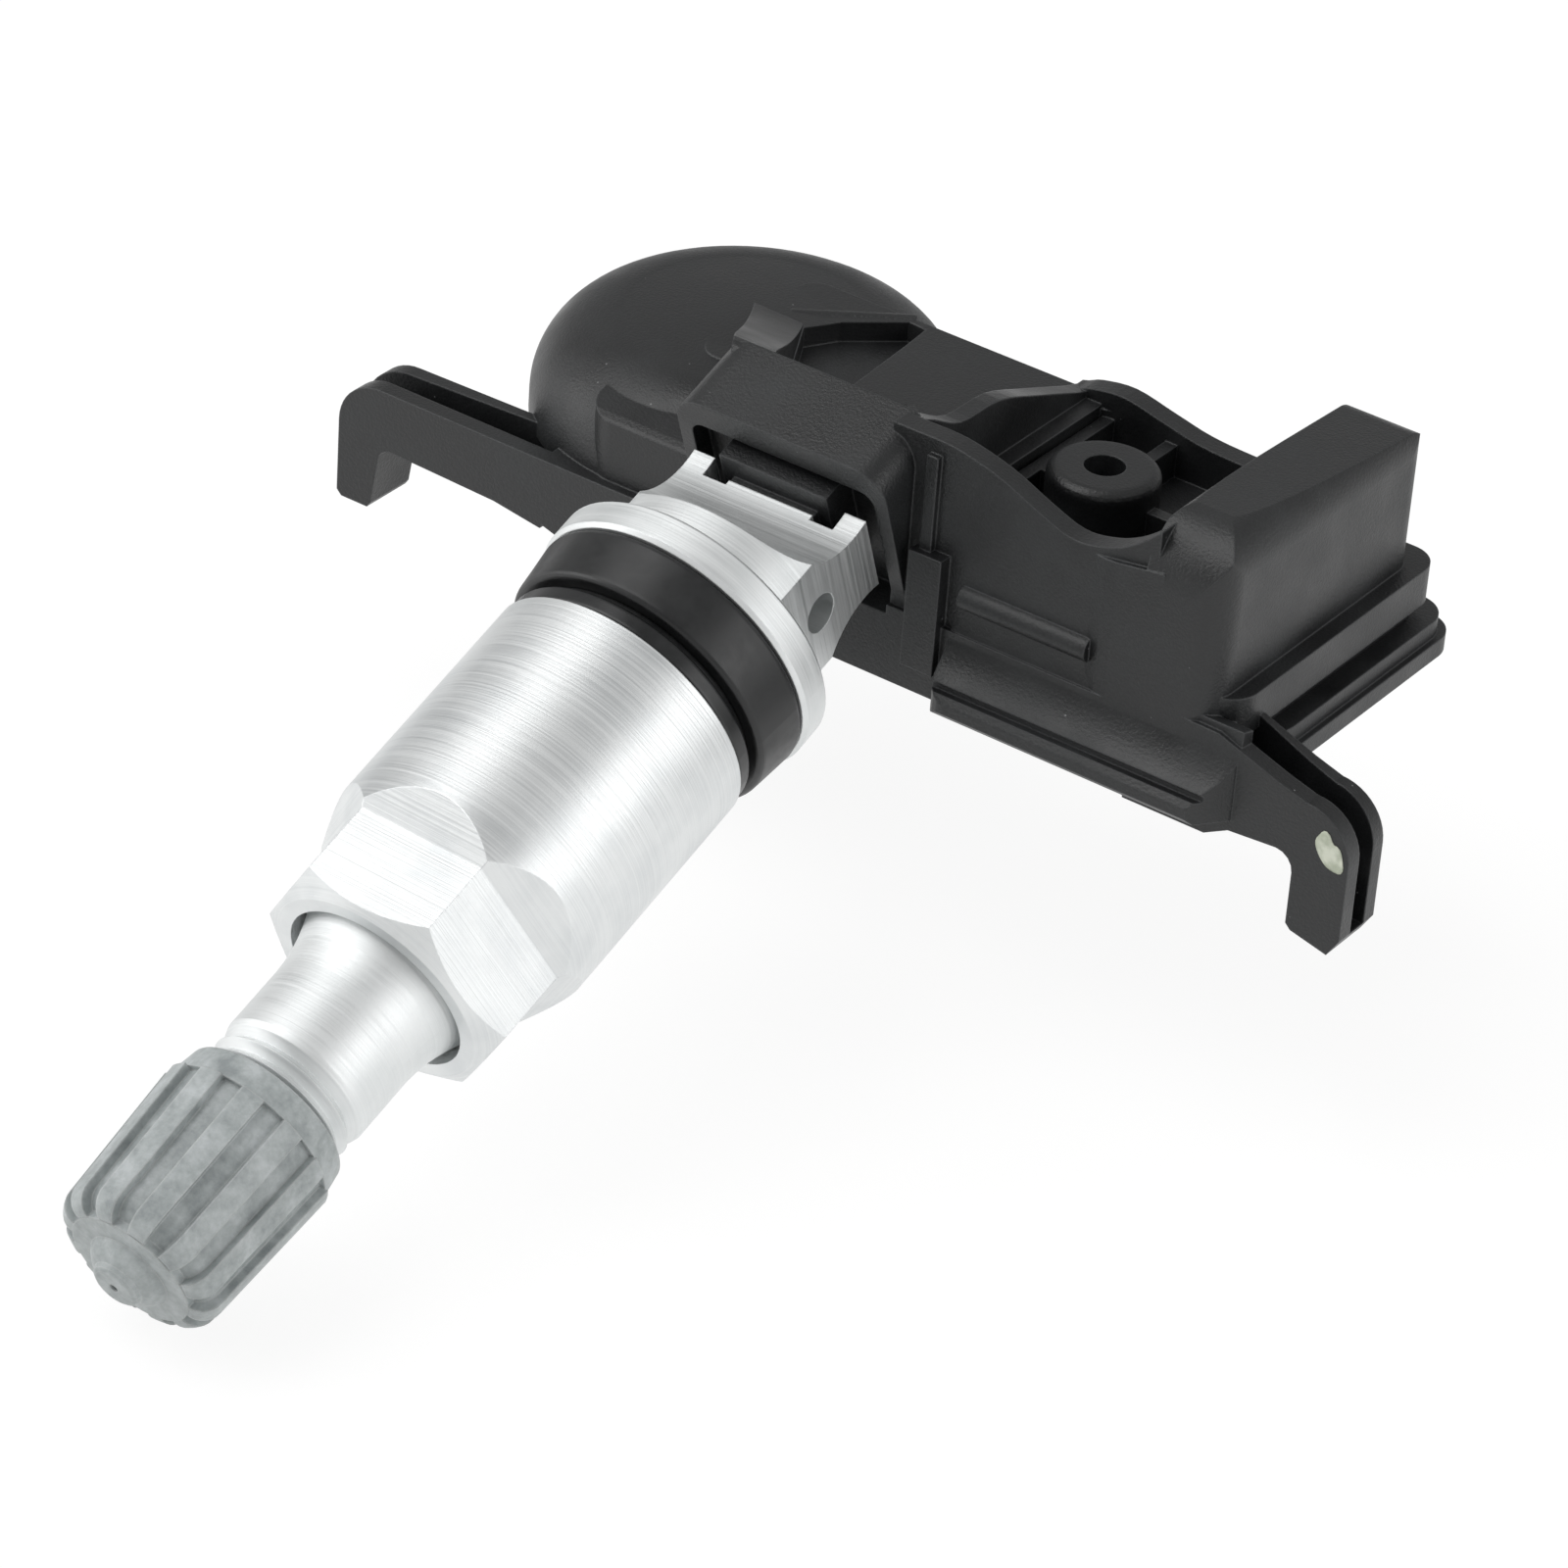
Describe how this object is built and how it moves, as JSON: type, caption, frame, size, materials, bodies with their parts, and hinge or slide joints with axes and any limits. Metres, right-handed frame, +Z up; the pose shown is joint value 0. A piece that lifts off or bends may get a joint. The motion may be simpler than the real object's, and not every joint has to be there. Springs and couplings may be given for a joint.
{
  "type": "tyre pressure sensor",
  "caption": "Clamp-in tyre pressure sensor: moulded housing with battery dome, pocket and hooked arms on an angled aluminium valve with rubber seal, sleeve nut and ribbed cap.",
  "frame": {"origin": "on the valve axis where the rubber seal meets the inner face of the rim", "axes": "+X along the housing towards the end away from the battery dome, +Z up from the rim well, valve along -Y and down at 20.5 degrees"},
  "size_m": [0.0613, 0.0741, 0.0289],
  "materials": {
    "black_moulding": "fine spark-eroded texture, glass-filled polyamide",
    "cover_moulding": "fine texture, glass-filled polyamide",
    "board": "solder-resist coated laminate",
    "cell_steel": "nickel-plated steel can",
    "tab_steel": "nickel strip",
    "chip_case": "moulded chip case",
    "silicone": "soft silicone",
    "ferrite": "sintered ferrite",
    "copper_wire": "enamelled copper wire",
    "antenna_metal": "tinned strip",
    "can_steel": "crystal can",
    "capacitor": "chip capacitor",
    "screw_steel": "plated steel",
    "valve_aluminium": "fine turned, satin anodised",
    "black_rubber": "smooth moulded rubber",
    "washer_rubber": "smooth moulded",
    "nut_aluminium": "satin anodised, fine turning marks",
    "cap_plastic": "grey moulded plastic",
    "inner_rubber": "smooth moulded rubber",
    "core_brass": "turned",
    "pin_brass": "turned",
    "spring_steel": "drawn wire"
  },
  "bodies": {
    "sensor": {"housing": "black_moulding", "base_cover": "cover_moulding", "circuit_board": "board", "battery_cell": "cell_steel", "battery_tab_upper": "tab_steel", "battery_tab_lower": "tab_steel", "sensor_chip": "chip_case", "port_seal": "silicone", "coil_core": "ferrite", "coil_winding": "copper_wire", "rf_antenna": "antenna_metal", "crystal": "can_steel", "chip_capacitors": "capacitor", "fixing_screw": "screw_steel", "valve_stem": "valve_aluminium", "rubber_seal": "black_rubber", "core_barrel": "core_brass", "core_spring": "spring_steel"},
    "washer": {"thrust_washer": "washer_rubber"},
    "nut": {"sleeve_nut": "nut_aluminium"},
    "cap_disc": {"cap_seal": "inner_rubber"},
    "cap": {"valve_cap": "cap_plastic"},
    "core": {"core_pin": "pin_brass", "core_seal": "inner_rubber"}
  },
  "joints": [
    {"name": "nut_travel", "type": "slide", "parent": "sensor", "child": "washer", "axis": [0, -0.9367, -0.3502], "range_m": [0, 0.01]},
    {"name": "nut_turn", "type": "hinge", "parent": "washer", "child": "nut", "pos_m": [0, -0.00937, -0.0035], "axis": [0, -0.9367, -0.3502], "range_deg": [0, 3600]},
    {"name": "cap_travel", "type": "slide", "parent": "sensor", "child": "cap_disc", "axis": [0, -0.9367, -0.3502], "range_m": [0, 0.00715]},
    {"name": "cap_turn", "type": "hinge", "parent": "cap_disc", "child": "cap", "pos_m": [0, -0.03185, -0.01191], "axis": [0, -0.9367, -0.3502], "range_deg": [0, 3240]},
    {"name": "core_press", "type": "slide", "parent": "sensor", "child": "core", "axis": [0, 0.9367, 0.3502], "range_m": [0, 0.001], "stiffness_N_per_m": 600, "springref_m": -0.002, "deforming": ["core_spring"]}
  ],
  "couplings": [
    {"joint": "nut_turn", "follows": "nut_travel", "rad_per_m": 6283.2},
    {"joint": "cap_turn", "follows": "cap_travel", "rad_per_m": 7913.3}
  ]
}
